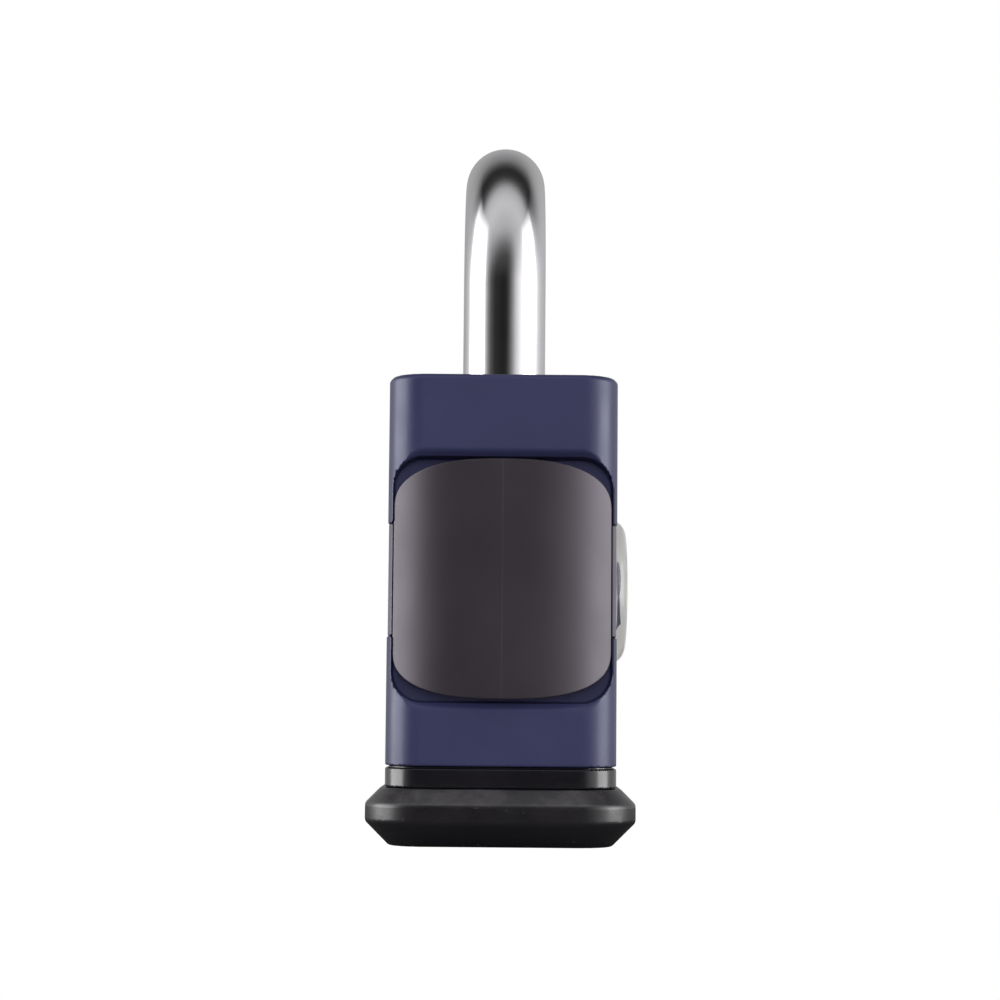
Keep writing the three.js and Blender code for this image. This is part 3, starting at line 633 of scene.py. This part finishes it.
PAINT = navy_paint()
COVER = satin_plastic("cover_plastic", (0.02, 0.016, 0.021), (0.026, 0.021, 0.027), 0.36, seam=True)
FASCIA = satin_plastic("fascia_plastic", (0.095, 0.087, 0.12), (0.12, 0.11, 0.145), 0.42)
MOULDED = satin_plastic("moulded_plastic", (0.01, 0.01, 0.011), (0.016, 0.016, 0.017), 0.5)
GUIDE = satin_plastic("light_guide", (0.62, 0.63, 0.62), (0.7, 0.71, 0.7), 0.4)
COLLAR = collar_paint()
SHOE = rubber("shoe_rubber", (0.0055, 0.0045, 0.0065))
SEALS = rubber("seal_rubber", (0.012, 0.012, 0.012), dust_and_painted_top_light=False)
SLEEVE = rubber("lead_sleeve", (0.2, 0.012, 0.012), dust_and_painted_top_light=False)
PLATED = plated_steel()
STEEL = bare_steel("ground_steel", (0.42, 0.43, 0.45), 0.3)
WIRE = bare_steel("spring_wire", (0.4, 0.4, 0.42), 0.28)
CAN = bare_steel("screening_can", (0.5, 0.51, 0.53), 0.35, stretch=(0.1, 1.0, 1.0))
RESIN = clear_resin()
BADGE = badge_print()
BOARD = circuit_board()
CELL = cell_sleeve()

# ---- Pieces: each box holds its shape, and the step is the grid's, all in millimetres ----------
BODY_X, BODY_Y = BODY["half_x"], BODY["half_y"]
SHOE_X, SHOE_Y = SHOE_SIZE["half_x"], SHOE_SIZE["half_y"]
fit("lock_body", lock_body, "housing", PAINT,
    (-BODY_X, -BODY_Y, BODY["bottom"]), (BODY_X, BODY_Y, BODY["top"]), step=0.3)
fit("shackle", shackle, "shackle", PLATED,
    (-LEG_X - BAR_R, -BAR_R, HEEL_END), (LEG_X + BAR_R, BAR_R, SHACKLE_TOP), step=0.3, keep=0.6)
fit("base_plate", base_plate, "housing", COLLAR,
    (-BODY_X, -BODY_Y, BOSS["bottom"]), (BODY_X, BODY_Y, RIM["top"]), step=0.25)
fit("base_bumper", base_bumper, "housing", SHOE,
    (-SHOE_X, -SHOE_Y, 0), (SHOE_X, SHOE_Y, SHOE_SIZE["top"]), step=0.25)
for name, side in (("left_cover", -1), ("right_cover", 1)):
    half = COVER_SIZE["half_y"]
    ends = sorted((side * COVER_SIZE["inner"], side * COVER_SIZE["middle"]))
    fit(name, side_cover(side), "housing", COVER,
        (ends[0], -half, COVER_SIZE["bottom"]), (ends[1], half, COVER_SIZE["top"]), step=0.13, keep=0.3)
for name, side, half_z in (("front_fascia", -1, FASCIA_SIZE["hub_r"]), ("rear_fascia", 1, 6.5)):
    half_x = 25
    ends = sorted((side * FASCIA_SIZE["inner"], side * FASCIA_SIZE["half_y"]))
    fit(name, fascia(side), "housing", FASCIA,
        (-half_x, ends[0], BAND_Z - half_z), (half_x, ends[1], BAND_Z + half_z), step=0.18)
for name, side in (("heel_seal", -1), ("toe_seal", 1)):
    half = 6.5
    fit(name, seal(side), "housing", SEALS,
        (side * LEG_X - half, -half, 53.5), (side * LEG_X + half, half, 55), step=0.15)
fit("button_bezel", button_bezel, "housing", FASCIA,
    (-BEZEL["outer_r"], -BEZEL["outer"], BAND_Z - BEZEL["outer_r"]),
    (BEZEL["outer_r"], -BEZEL["inner"], BAND_Z + BEZEL["outer_r"]), step=0.15)
fit("button_dome", button_dome, "button", RESIN,
    (-DOME["r"], -DOME["front"], BAND_Z - DOME["r"]),
    (DOME["r"], -DOME["back"], BAND_Z + DOME["r"]), step=0.15)

coil_spring("shackle_spring", lambda x, y, z: (x - LEG_X, y, z),
            mean=3.9, wire=0.5, low=13.3, high=24.7, turns=5.5)
button_coil = coil_spring("button_spring", lambda x, y, z: (x, -z, y + BAND_Z),
                          mean=7.0, wire=0.25, low=10.45, high=12.2, turns=2)
# The button's 0.5 mm of travel comes off the coil's 1.75 mm.
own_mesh(button_coil)

KEPT = {
    "button_badge": BADGE, "button_carrier": GUIDE, "battery_cap": MOULDED, "wake_switch": MOULDED,
    "button_seal": SEALS, "base_gasket": SEALS, "button_clip": WIRE, "control_board": BOARD,
    "radio_module": CAN, "motor": CAN, "battery_cell": CELL, "battery_contact": CAN,
    "motor_lead_a": SLEEVE, "motor_lead_b": SLEEVE, "battery_lead": SLEEVE,
}
for name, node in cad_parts.items():
    node.data.materials.clear()
    node.data.materials.append(KEPT.get(name, STEEL))
for name in ("locking_ball_heel", "locking_ball_toe"):
    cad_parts[name].data.shade_smooth()

# ---- Studio -----------------------------------------------------------------------------------
scene = bpy.context.scene
scene.view_settings.view_transform = "Standard"
PANEL = 5.0  # brightness of the side panels; the backdrop's white is 1

# Round the horizon: degrees from the camera, and brightness.
LEVEL_STOPS = (
    (-180, 0.4), (-146, 0.42), (-124, 0.62), (-113, 1.1), (-106, PANEL), (-65, PANEL), (-60, 1.8),
    (-55, 0.65), (-47, 0.25), (-39, 0.09), (-27, 0.03), (-5, 0.016), (5, 0.022), (11, 0.06), (18, 0.17),
    (25, 0.36), (32, 0.65), (40, 0.9), (49, 1.2), (57, 2.0), (62, PANEL), (92, PANEL), (100, 1.2),
    (112, 0.75), (127, 0.58), (180, 0.4),
)
# Overhead, from -1 at the camera's side to 1 behind: a soft light, a dark strip past the top, a grey wall.
OVERHEAD_STOPS = (
    (-1.0, 0.1), (-0.85, 0.12), (-0.77, 0.22), (-0.7, 0.34), (-0.6, 0.47), (-0.45, 0.56), (-0.33, 0.61),
    (-0.2, 0.57), (-0.08, 0.46), (0.07, 0.14), (0.14, 0.06), (0.22, 0.03), (0.34, 0.025), (0.41, 0.06),
    (0.5, 0.14), (0.6, 0.25), (0.85, 0.38), (1.0, 0.42),
)
OVERHEAD_RISE = (0.26, 0.74)  # heights of a unit direction where the overhead light takes over
DARK_BELOW = (-0.25, -0.12)  # and where all light has gone, and is full again


def studio_world():
    """White to the camera. Pieces see a tall panel on each side, dark between, and a soft light overhead."""
    world = bpy.data.worlds.new("studio")
    scene.world = world
    world.use_nodes = True
    tree = world.node_tree
    tree.nodes.clear()

    def math_node(operation, *values):
        node = tree.nodes.new("ShaderNodeMath")
        node.operation = operation
        for socket, value in zip(node.inputs, values):
            if isinstance(value, bpy.types.NodeSocket):
                tree.links.new(value, socket)
            else:
                socket.default_value = value
        return node.outputs[0]

    def curve(value, stops):
        """A brightness that runs straight from each (place, level) to the next."""
        node = tree.nodes.new("ShaderNodeFloatCurve")
        tree.links.new(value, node.inputs["Value"])
        line = node.mapping.curves[0]
        while len(line.points) < len(stops):
            line.points.new(0.5, 0.5)
        for point, (place, level) in zip(line.points, stops):
            point.location = (place, level / PANEL)
            point.handle_type = "VECTOR"
        node.mapping.update()
        return node.outputs[0]

    def ramp(value, low, high):
        """0 below low, 1 above high."""
        node = tree.nodes.new("ShaderNodeMapRange")
        tree.links.new(value, node.inputs[0])
        node.inputs[1].default_value = low
        node.inputs[2].default_value = high
        return node.outputs[0]

    towards = tree.nodes.new("ShaderNodeTexCoord").outputs["Generated"]
    split = tree.nodes.new("ShaderNodeSeparateXYZ")
    tree.links.new(towards, split.inputs[0])
    x, y, z = split.outputs
    # 0.5 is towards the camera, and larger round to its right as it faces the padlock.
    turn = math_node("ARCTAN2", math_node("MULTIPLY", y, -1.0), math_node("MULTIPLY", x, -1.0))
    turn = math_node("ADD", math_node("DIVIDE", turn, 2 * math.pi), 0.5)
    level_light = curve(turn, [(degrees / 360 + 0.5, level) for degrees, level in LEVEL_STOPS])
    across = math_node("ADD", math_node("MULTIPLY", x, 0.5), 0.5)
    above = curve(across, [(place / 2 + 0.5, level) for place, level in OVERHEAD_STOPS])
    rise = ramp(z, *OVERHEAD_RISE)
    low = math_node("MULTIPLY", math_node("MULTIPLY", level_light, ramp(z, *DARK_BELOW)),
                    math_node("SUBTRACT", 1.0, rise))
    lit = tree.nodes.new("ShaderNodeBackground")
    tree.links.new(math_node("ADD", low, math_node("MULTIPLY", above, rise)), lit.inputs["Color"])
    lit.inputs["Strength"].default_value = PANEL
    white = tree.nodes.new("ShaderNodeBackground")
    white.inputs["Color"].default_value = rgb(1, 1, 1)
    # The camera sees white through the clear dome too, but light that it lets onto a surface is the studio's.
    rays = tree.nodes.new("ShaderNodeLightPath")
    direct = math_node("LESS_THAN", rays.outputs["Diffuse Depth"], 0.5)
    through = math_node("MULTIPLY", rays.outputs["Is Transmission Ray"], direct)
    seen = math_node("MAXIMUM", rays.outputs["Is Camera Ray"], through)
    choose = tree.nodes.new("ShaderNodeMixShader")
    tree.links.new(seen, choose.inputs[0])
    tree.links.new(lit.outputs[0], choose.inputs[1])
    tree.links.new(white.outputs[0], choose.inputs[2])
    output = tree.nodes.new("ShaderNodeOutputWorld")
    tree.links.new(choose.outputs[0], output.inputs[0])


def studio_floor():
    """White to the camera, and a dim pale surface to everything else."""
    mesh = bpy.data.meshes.new("floor")
    half, low = 0.075, -0.00002
    corners = [(-half, -half, low), (half, -half, low), (half, half, low), (-half, half, low)]
    mesh.from_pydata(corners, [], [(0, 1, 2, 3)])
    floor = bpy.data.objects.new("floor", mesh)
    scene.collection.objects.link(floor)
    look = Look("pale_floor", Roughness=0.9, Specular_IOR_Level=0.0)
    look.color(look.blend(3, 3, (0.1, 0.1, 0.1), (0.12, 0.12, 0.12)))
    rays = look.tree.nodes.new("ShaderNodeLightPath")
    look.shader.inputs["Emission Color"].default_value = rgb(1, 1, 1)
    look.feed(look.shader.inputs["Emission Strength"], rays.outputs["Is Camera Ray"])
    mesh.materials.append(look.material)


def studio_lamp(name, place, target, size, watts):
    """A square lamp that reflections don't show."""
    lamp = bpy.data.lights.new(name, "AREA")
    lamp.size = size
    lamp.energy = watts
    obj = bpy.data.objects.new(name, lamp)
    obj.location = Vector(place)
    obj.rotation_euler = (Vector(target) - Vector(place)).to_track_quat("-Z", "Y").to_euler()
    obj.visible_glossy = False
    scene.collection.objects.link(obj)


CAMERA_PLACE = (-0.270, 0.0, 0.017)
CAMERA_ROLL = math.radians(0.5)
HORIZON_DROP = 0.2  # from the middle of the picture down to eye level, as a share of its width


def studio_camera():
    camera = bpy.data.cameras.new("camera")
    camera.lens = 75.4
    camera.sensor_width = 36.0
    camera.shift_x = -0.0027
    camera.shift_y = 0.03
    camera.clip_start = 0.01
    obj = bpy.data.objects.new("camera", camera)
    obj.location = CAMERA_PLACE
    # The shift does part of the drop, and a slight upward tilt the rest.
    tilt = math.atan((HORIZON_DROP - camera.shift_y) * camera.sensor_width / camera.lens)
    aim = Vector((math.cos(tilt), 0.0, math.sin(tilt))).to_track_quat("-Z", "Y").to_matrix().to_4x4()
    obj.rotation_euler = (aim @ Matrix.Rotation(CAMERA_ROLL, 4, "Z")).to_euler()
    scene.collection.objects.link(obj)
    scene.camera = obj


studio_world()
studio_floor()
studio_lamp("front", place=(-0.82, 0.0, 0.15), target=(0, 0, 0.04), size=0.5, watts=4.2)
studio_camera()
